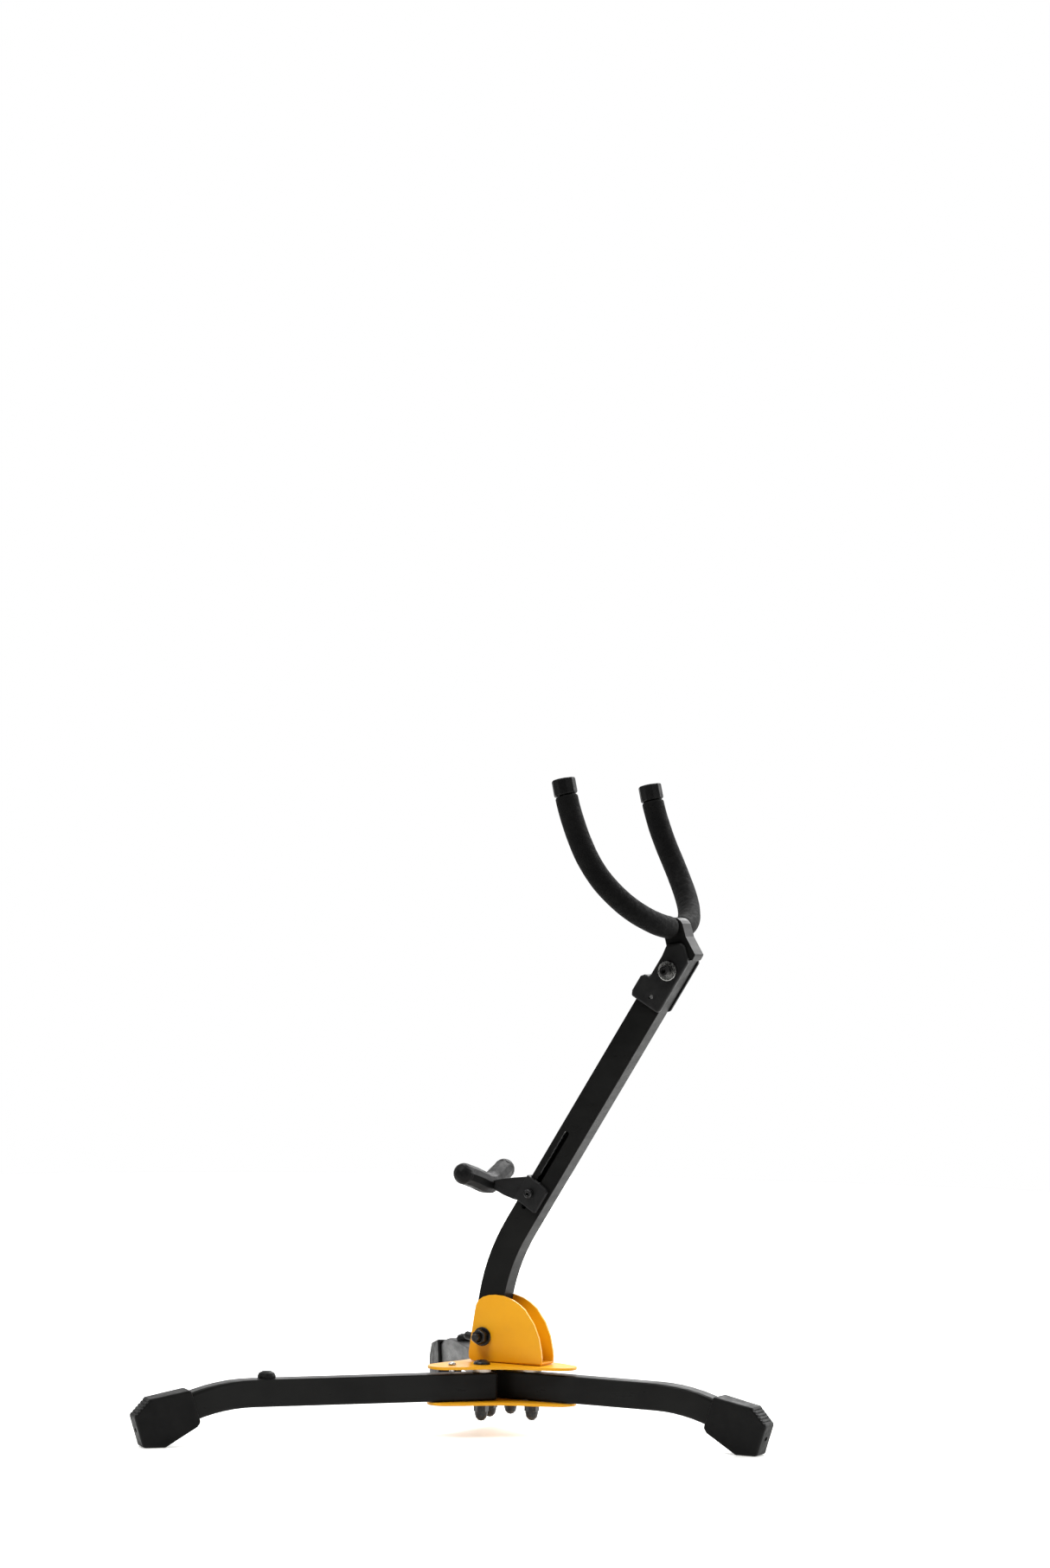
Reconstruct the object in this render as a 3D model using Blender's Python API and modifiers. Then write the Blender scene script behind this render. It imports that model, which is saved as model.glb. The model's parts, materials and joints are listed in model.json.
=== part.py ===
"""Folding alto saxophone stand.

Frame: metres, +Z up. The stand is laid out about its hub, with +X along the front leg and the X-Z plane
as its plane of symmetry, and stand_frame then moves all of it along X so that the origin is on the floor
under the middle of its bounding box. Lengths below are in millimetres and are turned into metres by MM.
"""

import math

import bmesh
import bpy
from mathutils import Matrix, Vector

MM = 0.001

# Driving dimensions, in millimetres and degrees.
TUBE_WIDTH = 12.0
TUBE_WALL = 1.2
TUBE_EDGE_RADIUS = 1.8
GAP = 0.3
HUB_X = -10.03

LEG_HEIGHT = 16.4
LEG_BOTTOM = 21.3
LEG_BEND_START = 143.0
LEG_BEND_RADIUS = 110.0
LEG_DROP_ANGLE = 20.9
LEG_END = 189.5
SOLE_START = 197.2
REAR_PIVOT = (-7.6, 18.6)
REAR_SPREAD = 48.9
REAR_INNER_END = -8.6
FRONT_SHIFT = -41.9
FRONT_INNER_END = -20.5

PLATE_THICKNESS = 1.7
TOP_PLATE_BOTTOM = 40.6
BOTTOM_PLATE_BOTTOM = 19.2
PLATE_LOBE_RADIUS = 10.5
FRONT_LOBE = 35.2
REAR_LOBE = 23.5

CLEVIS_BOTTOM = 42.6
CLEVIS_SHEET = 1.6
CLEVIS_INNER_HALF = 6.6
FOLD_AXIS = (-13.1, 57.6)
UPRIGHT_DEPTH = 17.0
LOWER_LEAN = 10.0
UPPER_LEAN = 32.2
LOWER_LENGTH = 47.8
BEND_RADIUS = 117.0
YOKE_AXIS_ALONG = 208.8
YOKE_AXIS_OFFSET = 1.1

REST_ALONG = 46.0
SLOT_START = 36.5
SLOT_END = 89.2
SLOT_WIDTH = 3.4
SLOT_OFFSET = -2.8

FORK_RADIUS = 6.4
FORK_APEX = Vector((-32.4, 0.0, -13.6))
FORK_END = Vector((-39.0, 25.2, -9.7))
PEG_START = (-22.0, -7.5)
PEG_END = (-32.4, -13.6)
PEG_RADIUS = 2.0
PEG_LENGTH = 12.5

PIN_RADIUS = 1.25
PIN_ALONG = -19.0
YOKE_BAR_RADIUS = 3.8
FOAM_RADIUS = 6.8
FOAM_BORE_RADIUS = 4.35
CAP_LENGTH = 10.0
YOKE_BASE = (108.0, 306.0)
YOKE_HALF_WIDTH = 57.0
YOKE_BASE_LEAN = 46.0
YOKE_ROLL_RADIUS = 165.0
YOKE_REACH = 100.0

BLACK_PAINT = ("black_paint", (0.012, 0.012, 0.013), 0.38, 0.3)
AMBER_PAINT = ("amber_paint", (0.78, 0.36, 0.02), 0.35, 0.2)
BLACK_STEEL = ("black_steel", (0.02, 0.02, 0.022), 0.32, 0.8)
BRIGHT_STEEL = ("bright_steel", (0.62, 0.62, 0.6), 0.25, 1.0)
RUBBER = ("rubber", (0.018, 0.018, 0.018), 0.7, 0.0)
FOAM = ("foam", (0.02, 0.02, 0.02), 0.9, 0.0)
PLASTIC = ("plastic", (0.02, 0.02, 0.021), 0.5, 0.0)
NYLON = ("nylon", (0.7, 0.69, 0.66), 0.5, 0.0)


def clear_scene():
    for obj in list(bpy.data.objects):
        bpy.data.objects.remove(obj, do_unlink=True)


def new_collection(name):
    collection = bpy.data.collections.new(name)
    bpy.context.scene.collection.children.link(collection)
    return collection


def material(spec):
    name, colour, roughness, metallic = spec
    found = bpy.data.materials.get(name)
    if found:
        return found
    made = bpy.data.materials.new(name)
    made.use_nodes = True
    shader = made.node_tree.nodes["Principled BSDF"]
    shader.inputs["Base Color"].default_value = (*colour, 1.0)
    shader.inputs["Roughness"].default_value = roughness
    shader.inputs["Metallic"].default_value = metallic
    return made


def joint_frame(name, place, rotation=(0.0, 0.0, 0.0), parent=None):
    """An empty on a joint's axis; place is in world millimetres and rotation in degrees."""
    empty = bpy.data.objects.new(name, None)
    empty.empty_display_size = 0.01
    PARTS.objects.link(empty)
    turn = Matrix.Rotation(math.radians(rotation[2]), 4, "Z")
    turn = turn @ Matrix.Rotation(math.radians(rotation[1]), 4, "Y")
    world = Matrix.Translation(Vector(place) * MM) @ turn
    empty.parent = parent
    empty.matrix_parent_inverse = parent.matrix_world.inverted() if parent else Matrix()
    empty.matrix_basis = world
    bpy.context.view_layer.update()
    return empty


def place(obj, frame, local=None):
    """Parents obj to a joint's empty; local is its place in that empty's frame."""
    obj.parent = frame
    obj.matrix_basis = local or Matrix()
    return obj


def shifted(x=0.0, y=0.0, z=0.0, about=None, degrees=0.0):
    matrix = Matrix.Translation(Vector((x, y, z)) * MM)
    if about:
        matrix = matrix @ Matrix.Rotation(math.radians(degrees), 4, about)
    return matrix


def mesh_object(name, mesh, spec, collection=None):
    obj = bpy.data.objects.new(name, mesh)
    (collection or PARTS).objects.link(obj)
    mesh.materials.clear()
    mesh.materials.append(material(spec))
    return obj


def frozen_mesh(obj, name):
    """The evaluated mesh of obj, welded and with its faces pointing out; obj is removed."""
    graph = bpy.context.evaluated_depsgraph_get()
    graph.update()
    mesh = bpy.data.meshes.new_from_object(obj.evaluated_get(graph))
    bpy.data.objects.remove(obj, do_unlink=True)
    mesh.name = name
    shape = bmesh.new()
    shape.from_mesh(mesh)
    bmesh.ops.remove_doubles(shape, verts=shape.verts, dist=2e-6)
    bmesh.ops.recalc_face_normals(shape, faces=shape.faces)
    shape.to_mesh(mesh)
    shape.free()
    return mesh


def bevelled(obj, width, segments=2, angle=40.0):
    bevel = obj.modifiers.new("round_edges", "BEVEL")
    bevel.width = width * MM
    bevel.segments = segments
    bevel.limit_method = "ANGLE"
    bevel.angle_limit = math.radians(angle)
    bevel.use_clamp_overlap = True
    return obj


def smooth(obj, angle=35.0):
    obj.data.shade_smooth()
    obj.data.set_sharp_from_angle(angle=math.radians(angle))
    return obj


def outline_mesh(name, loops, thickness, upright=False):
    """A flat outline with holes: the first loop is the edge, the others are holes. It lies in the X-Y
    plane about Z = 0, or in the X-Z plane about Y = 0 when upright is set."""
    curve = bpy.data.curves.new(name, "CURVE")
    curve.dimensions = "2D"
    curve.fill_mode = "BOTH"
    curve.extrude = thickness * MM / 2
    for loop in loops:
        spline = curve.splines.new("POLY")
        spline.points.add(len(loop) - 1)
        for point, (x, y) in zip(spline.points, loop):
            point.co = (x * MM, y * MM, 0.0, 1.0)
        spline.use_cyclic_u = True
    obj = bpy.data.objects.new(name + "_outline", curve)
    PARTS.objects.link(obj)
    mesh = frozen_mesh(obj, name)
    if upright:
        mesh.transform(Matrix.Rotation(math.radians(90.0), 4, "X"))
    bpy.data.curves.remove(curve)
    return mesh


def circle(x, y, radius, count=20):
    return [
        (x + radius * math.cos(2 * math.pi * i / count), y + radius * math.sin(2 * math.pi * i / count))
        for i in range(count)
    ]


def arc(x, y, radius, start, end, count):
    """Points on an arc from start to end degrees, both included."""
    angles = [math.radians(start + (end - start) * i / (count - 1)) for i in range(count)]
    return [(x + radius * math.cos(a), y + radius * math.sin(a)) for a in angles]


def turned_mesh(name, profile, steps=20):
    """A turned shape about Z. The profile is (radius, height) from top to bottom down the outside."""
    mesh = bpy.data.meshes.new(name)
    closed = profile[0][0] > 0
    edges = [(i, i + 1) for i in range(len(profile) - 1)]
    if closed:
        edges.append((len(profile) - 1, 0))
    mesh.from_pydata([(r * MM, 0.0, z * MM) for r, z in profile], edges, [])
    obj = bpy.data.objects.new(name + "_profile", mesh)
    PARTS.objects.link(obj)
    screw = obj.modifiers.new("turn", "SCREW")
    screw.steps = steps
    screw.render_steps = steps
    screw.use_merge_vertices = True
    screw.merge_threshold = 1e-6
    return frozen_mesh(obj, name)


def prism_mesh(name, sides, radius, height, base=0.0):
    """A prism about Z from base to base + height."""
    shape = bmesh.new()
    bmesh.ops.create_cone(
        shape, cap_ends=True, segments=sides, radius1=radius * MM, radius2=radius * MM, depth=height * MM
    )
    bmesh.ops.translate(shape, verts=shape.verts, vec=(0.0, 0.0, (base + height / 2) * MM))
    mesh = bpy.data.meshes.new(name)
    shape.to_mesh(mesh)
    shape.free()
    return mesh


def box_mesh(name, low, high):
    shape = bmesh.new()
    bmesh.ops.create_cube(shape, size=1.0)
    size = [(b - a) * MM for a, b in zip(low, high)]
    middle = [(a + b) * MM / 2 for a, b in zip(low, high)]
    bmesh.ops.scale(shape, verts=shape.verts, vec=size)
    bmesh.ops.translate(shape, verts=shape.verts, vec=middle)
    mesh = bpy.data.meshes.new(name)
    shape.to_mesh(mesh)
    shape.free()
    return mesh


def swept_mesh(name, points, radius, sides=2):
    """A round bar along points, with closed ends."""
    curve = bpy.data.curves.new(name, "CURVE")
    curve.dimensions = "3D"
    curve.bevel_depth = radius * MM
    curve.bevel_resolution = sides
    curve.use_fill_caps = True
    spline = curve.splines.new("POLY")
    spline.points.add(len(points) - 1)
    for point, spot in zip(spline.points, points):
        point.co = (*(Vector(spot) * MM), 1.0)
    obj = bpy.data.objects.new(name + "_path", curve)
    PARTS.objects.link(obj)
    mesh = frozen_mesh(obj, name)
    bpy.data.curves.remove(curve)
    return mesh


def boolean(obj, mesh, local=None, operation="DIFFERENCE"):
    """Cuts mesh from obj, or joins it on. The cutter moves with obj; local is its place in obj's frame."""
    tool = bpy.data.objects.new(f"{obj.name}_tool_{len(obj.modifiers)}", mesh)
    CUTTERS.objects.link(tool)
    tool.hide_render = True
    tool.display_type = "WIRE"
    tool.parent = obj
    tool.matrix_basis = local or Matrix()
    modifier = obj.modifiers.new(operation.lower(), "BOOLEAN")
    modifier.operation = operation
    modifier.solver = "EXACT"
    modifier.object = tool
    return obj


def strip(path, height):
    """The side outline of a bent tube: path is (x, z, lean in degrees of its direction from +X)."""
    half = height / 2
    upper = [(x - half * math.sin(math.radians(a)), z + half * math.cos(math.radians(a))) for x, z, a in path]
    lower = [(x + half * math.sin(math.radians(a)), z - half * math.cos(math.radians(a))) for x, z, a in path]
    return upper + lower[::-1]


def smooth_path(points, per_span=3):
    """Points on a Catmull-Rom curve through the given ones."""
    knots = [Vector(p) for p in points]
    knots = [2 * knots[0] - knots[1]] + knots + [2 * knots[-1] - knots[-2]]
    found = []
    for i in range(1, len(knots) - 2):
        a, b, c, d = knots[i - 1 : i + 3]
        for step in range(per_span):
            t = step / per_span
            square = 2 * a - 5 * b + 4 * c - d
            cube = 3 * b - a - 3 * c + d
            found.append(0.5 * (2 * b + (c - a) * t + square * t**2 + cube * t**3))
    found.append(knots[-2])
    return found


# ---------------------------------------------------------------- legs and feet


def leg_path(inner_end, end, extra=0.0):
    """The leg's centre line from its inner end to a point in the foot, as (x, z, direction)."""
    middle = LEG_BOTTOM + LEG_HEIGHT / 2
    path = [(inner_end - extra, middle, 0.0), (LEG_BEND_START, middle, 0.0)]
    steps = 6
    for i in range(1, steps + 1):
        turn = LEG_DROP_ANGLE * i / steps
        angle = math.radians(turn)
        x = LEG_BEND_START + LEG_BEND_RADIUS * math.sin(angle)
        z = middle - LEG_BEND_RADIUS * (1 - math.cos(angle))
        path.append((x, z, -turn))
    slope = math.radians(LEG_DROP_ANGLE)
    x, z, _ = path[-1]
    run = end + extra - x
    path.append((end + extra, z - run * math.tan(slope), -LEG_DROP_ANGLE))
    return path


def make_leg(name, frame, inner_end, holes):
    outer = outline_mesh(name, [strip(leg_path(inner_end, LEG_END), LEG_HEIGHT)], TUBE_WIDTH, upright=True)
    leg = mesh_object(name, outer, BLACK_PAINT)
    bevelled(leg, TUBE_EDGE_RADIUS)
    hollow = strip(leg_path(inner_end, LEG_END, extra=4.0), LEG_HEIGHT - 2 * TUBE_WALL)
    boolean(leg, outline_mesh(name + "_bore", [hollow], TUBE_WIDTH - 2 * TUBE_WALL, upright=True))
    for x, radius in holes:
        drill = prism_mesh(name + "_hole", 16, radius, LEG_HEIGHT + 8.0, LEG_BOTTOM - 4.0)
        boolean(leg, drill, shifted(x=x))
    smooth(leg)
    return place(leg, frame)


def make_foot(name, frame):
    """A rubber boot: its sole is flat on the floor and its upper bevel carries plain ribs."""
    profile = [
        (0.0, 0.0), (13.2, 0.0), (19.0, 18.4), (9.9, 28.2), (-14.6, 33.0), (-21.0, 14.0), (-19.2, 11.5),
    ]
    mesh = outline_mesh(name, [[(SOLE_START + x, z) for x, z in profile]], 15.8, upright=True)
    taper_start, taper_end, end_scale = SOLE_START - 4.0, SOLE_START + 19.0, 0.82
    for vertex in mesh.vertices:
        along = (vertex.co.x / MM - taper_start) / (taper_end - taper_start)
        vertex.co.y *= 1.0 - (1.0 - end_scale) * min(max(along, 0.0), 1.0)
    foot = mesh_object(name, mesh, RUBBER)
    bevelled(foot, 1.3)
    slope = math.radians(LEG_DROP_ANGLE)
    path = leg_path(0.0, LEG_END)
    end_x, end_z, _ = path[-1]
    reach = 34.0
    socket = box_mesh(
        name + "_socket",
        (-reach, -TUBE_WIDTH / 2 - GAP, -LEG_HEIGHT / 2 - GAP),
        (2.0, TUBE_WIDTH / 2 + GAP, LEG_HEIGHT / 2 + GAP),
    )
    boolean(foot, socket, shifted(x=end_x, z=end_z, about="Y", degrees=math.degrees(slope)))
    rib_slope = math.degrees(math.atan2(28.2 - 18.4, 19.0 - 9.9))
    for i in range(5):
        t = 0.17 + 0.165 * i
        groove = box_mesh(name + "_groove", (-0.5, -9.0, -0.6), (0.5, 9.0, 3.0))
        x = SOLE_START + 19.0 + (9.9 - 19.0) * t
        z = 18.4 + (28.2 - 18.4) * t
        boolean(foot, groove, shifted(x=x, z=z, about="Y", degrees=rib_slope))
    end_slope = 90.0 - math.degrees(math.atan2(18.4, 19.0 - 13.2))
    dimple = prism_mesh(name + "_dimple", 14, 1.5, 6.0, -1.0)
    boolean(foot, dimple, shifted(x=SOLE_START + 16.3, z=9.8, about="Y", degrees=90.0 + end_slope))
    smooth(foot)
    return place(foot, frame)


def make_bumper(name, frame):
    """A domed rubber button pressed on the top of a rear leg."""
    top = LEG_BOTTOM + LEG_HEIGHT + GAP
    profile = [(0.0, 4.2), (2.6, 3.9), (4.6, 2.9), (5.4, 1.2), (5.4, 0.0), (0.0, 0.0)]
    bumper = mesh_object(name, turned_mesh(name, profile, 16), RUBBER)
    smooth(bumper)
    return place(bumper, frame, shifted(x=134.7, z=top))


# ---------------------------------------------------------------- hub


def lobe_centres():
    """The middles of the plate's three lobes: front, then the left and right rear ones."""
    turn = math.radians(REAR_SPREAD)
    x = REAR_PIVOT[0] - REAR_LOBE * math.cos(turn)
    y = REAR_PIVOT[1] + REAR_LOBE * math.sin(turn)
    return [(FRONT_LOBE, 0.0), (x, y), (x, -y)]


def plate_outline():
    """Three round lobes joined by hollow edges, run anticlockwise from the front lobe."""
    centres = lobe_centres()
    hollow_depth = (5.5, 7.0, 5.5)
    points = []
    for i, (x, y) in enumerate(centres):
        before = Vector(centres[i - 1])
        after = Vector(centres[(i + 1) % 3])
        here = Vector((x, y))
        first = (here - before).normalized()
        last = (after - here).normalized()
        start = math.degrees(math.atan2(-first.x, first.y))
        end = math.degrees(math.atan2(-last.x, last.y))
        while end < start:
            end += 360.0
        points += arc(x, y, PLATE_LOBE_RADIUS, start, end, 9)
        tangent = (after - here).normalized()
        outward = Vector((tangent.y, -tangent.x))
        a = here + outward * PLATE_LOBE_RADIUS
        b = after + outward * PLATE_LOBE_RADIUS
        for step in range(1, 6):
            t = step / 6
            spot = a.lerp(b, t) - outward * hollow_depth[i] * math.sin(math.pi * t) ** 2
            points.append((spot.x, spot.y))
    return points


def bolt_places():
    """Name, x, y of the hub's four bolts."""
    x, y = REAR_PIVOT
    return (
        ("front_bolt", 16.9, 0.0),
        ("middle_bolt", -11.8, 0.0),
        ("left_leg_bolt", x, -y),
        ("right_leg_bolt", x, y),
    )


def detent_places():
    turn = math.radians(REAR_SPREAD)
    x = REAR_PIVOT[0] - 19.0 * math.cos(turn)
    y = REAR_PIVOT[1] + 19.0 * math.sin(turn)
    return (("left_detent_stud", x, -y), ("right_detent_stud", x, y))


def make_plate(name, bottom, with_studs):
    loops = [plate_outline()]
    loops += [circle(x, y, 2.5 + GAP, 16) for _, x, y in bolt_places()]
    if with_studs:
        loops += [circle(x, y, 1.6 + GAP, 12) for _, x, y in detent_places()]
    plate = mesh_object(name, outline_mesh(name, loops, PLATE_THICKNESS), AMBER_PAINT)
    plate.location.z = (bottom + PLATE_THICKNESS / 2) * MM
    bevelled(plate, 0.4, 1, 60.0)
    return smooth(plate)


def make_bolt(name, x, y, top):
    """A button-head bolt down through the hub; top is the height its head sits on."""
    head = [(0.0, 2.4), (3.0, 2.2), (4.7, 1.2), (5.2, 0.0), (2.5, 0.0)]
    profile = head + [(2.5, -(top - 12.2)), (0.0, -(top - 12.2))]
    bolt = mesh_object(name, turned_mesh(name, profile, 16), BLACK_STEEL)
    boolean(bolt, prism_mesh(name + "_socket", 6, 1.8, 3.0, 1.1))
    bolt.location = Vector((x, y, top + GAP)) * MM
    return smooth(bolt)


def make_cap_nut(name, x, y):
    """A domed nut under the bottom plate, with a blind thread hole."""
    top = BOTTOM_PLATE_BOTTOM - GAP
    nut = mesh_object(name, prism_mesh(name, 6, 4.5, 4.6, top - 4.6), BLACK_STEEL)
    dome = [(0.0, 0.0), (3.9, 0.0), (3.9, -1.4), (3.3, -3.8), (1.8, -5.4), (0.0, -5.9)]
    boolean(nut, turned_mesh(name + "_dome", dome, 16), shifted(z=top - 4.5), "UNION")
    boolean(nut, prism_mesh(name + "_thread", 16, 2.5 + GAP, 20.0, 11.6))
    nut.location = Vector((x, y, 0.0)) * MM
    return smooth(nut)


def make_washer(name, inner, outer, thickness, spec, steps=20):
    profile = [(inner, thickness), (outer, thickness), (outer, 0.0), (inner, 0.0)]
    return smooth(mesh_object(name, turned_mesh(name, profile, steps), spec))


def make_clevis():
    """A U of amber sheet open to the front, back and top, whose sides are quarter discs."""
    x0, x1 = -22.2, 27.0
    bottom = CLEVIS_BOTTOM
    side = [(x0 + 1.5, bottom), (x1 - 0.8, bottom), (x1, bottom + 1.2), (27.2, 47.0), (26.7, 51.3)]
    side += [(25.0, 58.9), (21.4, 67.1), (15.3, 75.2), (10.8, 78.6), (6.4, 80.9), (0.0, 82.7), (-5.5, 83.1)]
    side += [(-9.8, 82.6), (-13.4, 81.4), (-16.3, 79.4), (-18.0, 76.6), (-18.8, 73.0), (x0 - 0.4, 47.6)]
    side += [(x0 - 0.2, bottom + 2.0)]
    outer_half = CLEVIS_INNER_HALF + CLEVIS_SHEET
    mesh = outline_mesh("clevis", [side], 2 * outer_half, upright=True)
    clevis = mesh_object("clevis", mesh, AMBER_PAINT)
    folds = clevis.modifiers.new("folds", "BEVEL")
    folds.width = 1.9 * MM
    folds.segments = 3
    folds.limit_method = "WEIGHT"
    weights = mesh.attributes.new("bevel_weight_edge", "FLOAT", "EDGE")
    for edge in mesh.edges:
        a, b = (mesh.vertices[i].co for i in edge.vertices)
        low = max(a.z, b.z) < (bottom + 0.1) * MM
        weights.data[edge.index].value = 1.0 if low and abs(a.y - b.y) < 1e-6 else 0.0
    inner = box_mesh(
        "clevis_space",
        (-40.0, -CLEVIS_INNER_HALF, bottom + CLEVIS_SHEET),
        (50.0, CLEVIS_INNER_HALF, 120.0),
    )
    boolean(clevis, inner)
    drill = prism_mesh("clevis_pivot_hole", 16, 2.5 + GAP, 40.0, -20.0)
    boolean(clevis, drill, shifted(x=FOLD_AXIS[0], z=FOLD_AXIS[1], about="X", degrees=90.0))
    for _, x, y in bolt_places()[:2]:
        boolean(clevis, prism_mesh("clevis_hole", 16, 2.5 + GAP, 12.0, 38.0), shifted(x=x, y=y))
    return smooth(clevis)


def make_hub():
    plates_top = TOP_PLATE_BOTTOM + PLATE_THICKNESS
    make_plate("top_plate", TOP_PLATE_BOTTOM, True)
    make_plate("bottom_plate", BOTTOM_PLATE_BOTTOM, False)
    make_clevis()
    for name, x, y in bolt_places():
        on_clevis = y == 0.0
        make_bolt(name, x, y, CLEVIS_BOTTOM + CLEVIS_SHEET if on_clevis else plates_top)
        make_cap_nut(name.replace("bolt", "cap_nut"), x, y)
        spacer = make_washer(name.replace("bolt", "spacer"), 2.5 + GAP, 5.6, 2.3, NYLON)
        spacer.location = Vector((x, y, LEG_BOTTOM + LEG_HEIGHT + GAP)) * MM
    for name, x, y in detent_places():
        profile = [(0.0, 1.7), (1.5, 1.4), (2.3, 0.7), (2.4, 0.0), (1.6, 0.0)]
        profile += [(1.6, -4.1), (0.9, -4.3), (0.0, -4.3)]
        stud = mesh_object(name, turned_mesh(name, profile, 16), BRIGHT_STEEL)
        stud.location = Vector((x, y, plates_top + GAP)) * MM
        smooth(stud)


# ---------------------------------------------------------------- upright


def lean_vector(degrees):
    angle = math.radians(degrees)
    return Vector((math.sin(angle), math.cos(angle)))


def bend_corner():
    """Where the upright's two straight centre lines meet, in the X-Z plane."""
    return Vector(FOLD_AXIS) + lean_vector(LOWER_LEAN) * LOWER_LENGTH


def upper_point(along, offset=0.0):
    """A point on the upper straight: along it from the bend's corner, and offset to its front."""
    direction = lean_vector(UPPER_LEAN)
    return bend_corner() + direction * along + Vector((direction.y, -direction.x)) * offset


def upright_path(below, top):
    """The upright's centre line from a distance below the fold axis to a point on the upper straight."""
    corner = bend_corner()
    turn = UPPER_LEAN - LOWER_LEAN
    tangent = BEND_RADIUS * math.tan(math.radians(turn / 2))
    start = corner - lean_vector(LOWER_LEAN) * tangent
    lower = Vector(FOLD_AXIS) - lean_vector(LOWER_LEAN) * below
    path = [(lower.x, lower.y, 90.0 - LOWER_LEAN)]
    side = lean_vector(LOWER_LEAN)
    centre = start + Vector((side.y, -side.x)) * BEND_RADIUS
    steps = 7
    for i in range(steps + 1):
        lean = LOWER_LEAN + turn * i / steps
        out = lean_vector(lean)
        spot = centre - Vector((out.y, -out.x)) * BEND_RADIUS
        path.append((spot.x, spot.y, 90.0 - lean))
    end = upper_point(top)
    path.append((end.x, end.y, 90.0 - UPPER_LEAN))
    return path


def make_upright(fold, straight):
    name = "upright_tube"
    tongue = YOKE_AXIS_ALONG + 12.5
    outline = strip(upright_path(0.0, tongue), UPRIGHT_DEPTH)
    lower_end = outline[-1]
    middle = Vector(FOLD_AXIS)
    radius = UPRIGHT_DEPTH / 2
    first = math.degrees(math.atan2(lower_end[1] - middle.y, lower_end[0] - middle.x))
    outline += arc(middle.x, middle.y, radius, first, first - 180.0, 12)[1:-1]
    mesh = outline_mesh(name, [outline], TUBE_WIDTH, upright=True)
    mesh.transform(Matrix.Translation(Vector((-FOLD_AXIS[0], 0.0, -FOLD_AXIS[1])) * MM))
    tube = mesh_object(name, mesh, BLACK_PAINT)
    bevelled(tube, TUBE_EDGE_RADIUS)
    hollow = strip(upright_path(14.0, tongue + 6.0), UPRIGHT_DEPTH - 2 * TUBE_WALL)
    bore = outline_mesh(name + "_bore", [hollow], TUBE_WIDTH - 2 * TUBE_WALL, upright=True)
    to_fold = shifted(x=-FOLD_AXIS[0], z=-FOLD_AXIS[1])
    boolean(tube, bore, to_fold)
    drill = prism_mesh(name + "_hole", 20, 3.4 + GAP, 40.0, -20.0)
    boolean(tube, drill, shifted(about="X", degrees=90.0))
    in_straight = fold.matrix_world.inverted() @ straight.matrix_world
    half = SLOT_WIDTH / 2
    low, high = SLOT_START - YOKE_AXIS_ALONG, SLOT_END - YOKE_AXIS_ALONG
    slot = arc(SLOT_OFFSET, high, half, 0.0, 180.0, 7) + arc(SLOT_OFFSET, low, half, 180.0, 360.0, 7)
    boolean(tube, outline_mesh(name + "_slot", [slot], 40.0, upright=True), in_straight)
    opening = [(-20.0, -8.6), (7.2, -8.6), (7.2, 30.0), (-20.0, 30.0)]
    boolean(tube, outline_mesh(name + "_open", [opening], 40.0, upright=True), in_straight)
    across = Matrix.Rotation(math.radians(90.0), 4, "X")
    pin_hole = prism_mesh(name + "_pin_hole", 12, PIN_RADIUS + GAP, 40.0, -20.0)
    boolean(tube, pin_hole, in_straight @ shifted(z=PIN_ALONG) @ across)
    button = prism_mesh(name + "_button_hole", 16, 2.6 + GAP, 12.0, 3.0)
    lean = Matrix.Rotation(math.radians(LOWER_LEAN), 4, "Y")
    boolean(tube, button, lean @ shifted(z=-3.6, about="Y", degrees=-90.0))
    smooth(tube)
    return place(tube, fold)


def make_fold_pivot(fold):
    """The bolt, its bush through the tube, the washers outside the clevis and the nut."""
    half = CLEVIS_INNER_HALF + CLEVIS_SHEET + GAP
    across = Matrix.Rotation(math.radians(90.0), 4, "X")
    washer_thickness = 0.9
    for name, side in (("near_pivot_washer", 1.0), ("far_pivot_washer", -1.0)):
        washer = make_washer(name, 2.5 + GAP, 5.7, washer_thickness, BLACK_STEEL)
        start = half if side > 0 else -half - washer_thickness
        washer.matrix_basis = shifted(x=FOLD_AXIS[0], z=FOLD_AXIS[1]) @ across @ shifted(z=start)
    reach = half + washer_thickness + GAP
    head = [(0.0, 0.0), (3.6, 0.0), (4.25, 0.6), (4.25, 4.6), (4.25, 5.0), (2.5, 5.0)]
    profile = [(r, z - reach - 5.0) for r, z in head]
    profile += [(2.5, reach + 8.3), (2.1, reach + 8.8), (0.0, reach + 8.8)]
    profile = profile[::-1]
    bolt = mesh_object("fold_bolt", turned_mesh("fold_bolt", profile, 18), BLACK_STEEL)
    boolean(bolt, prism_mesh("fold_bolt_socket", 6, 2.3, 4.0, -reach - 7.4))
    bolt.matrix_basis = shifted(x=FOLD_AXIS[0], z=FOLD_AXIS[1]) @ across
    smooth(bolt)
    nut = mesh_object("fold_nut", prism_mesh("fold_nut", 6, 4.75, 4.4), BLACK_STEEL)
    bevelled(nut, 0.35, 1)
    boolean(nut, prism_mesh("fold_nut_thread", 18, 2.5 + GAP, 10.0, -2.0))
    nut.matrix_basis = shifted(x=FOLD_AXIS[0], z=FOLD_AXIS[1]) @ across @ shifted(z=reach)
    smooth(nut)
    bush = make_washer("fold_bush", 2.5 + GAP, 3.4, TUBE_WIDTH + 0.6, BRIGHT_STEEL)
    place(bush, fold, across @ shifted(z=-TUBE_WIDTH / 2 - 0.3))


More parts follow.
